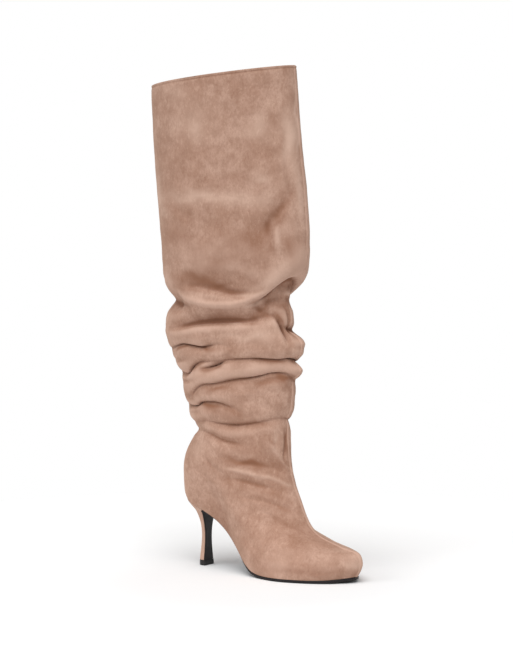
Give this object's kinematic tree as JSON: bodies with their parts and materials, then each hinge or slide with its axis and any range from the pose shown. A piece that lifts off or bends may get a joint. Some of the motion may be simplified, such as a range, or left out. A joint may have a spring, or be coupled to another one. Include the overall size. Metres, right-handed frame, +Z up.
{
  "type": "knee-high boot",
  "caption": "Knee-high slouch boot in suede, right foot, with a rounded toe, a folded loose shaft and a slim flared heel.",
  "frame": {"origin": "on the floor, at the middle of the heel tip's tread", "axes": "+Z up, toe towards -Y, outer side of the foot towards -X"},
  "size_m": [0.0898, 0.2687, 0.5444],
  "materials": {
    "suede": "napped taupe suede, soft, mottled",
    "lining": "smooth matt lining leather",
    "sole": "black leather sole with a waxed edge",
    "heel_suede": "the upper's suede, stretched over the heel",
    "top_piece": "hard black top piece, satin"
  },
  "bodies": {
    "root": {"upper": "suede", "insole": "lining", "outsole": "sole", "heel": "heel_suede", "heel_tip": "top_piece"}
  },
  "joints": []
}
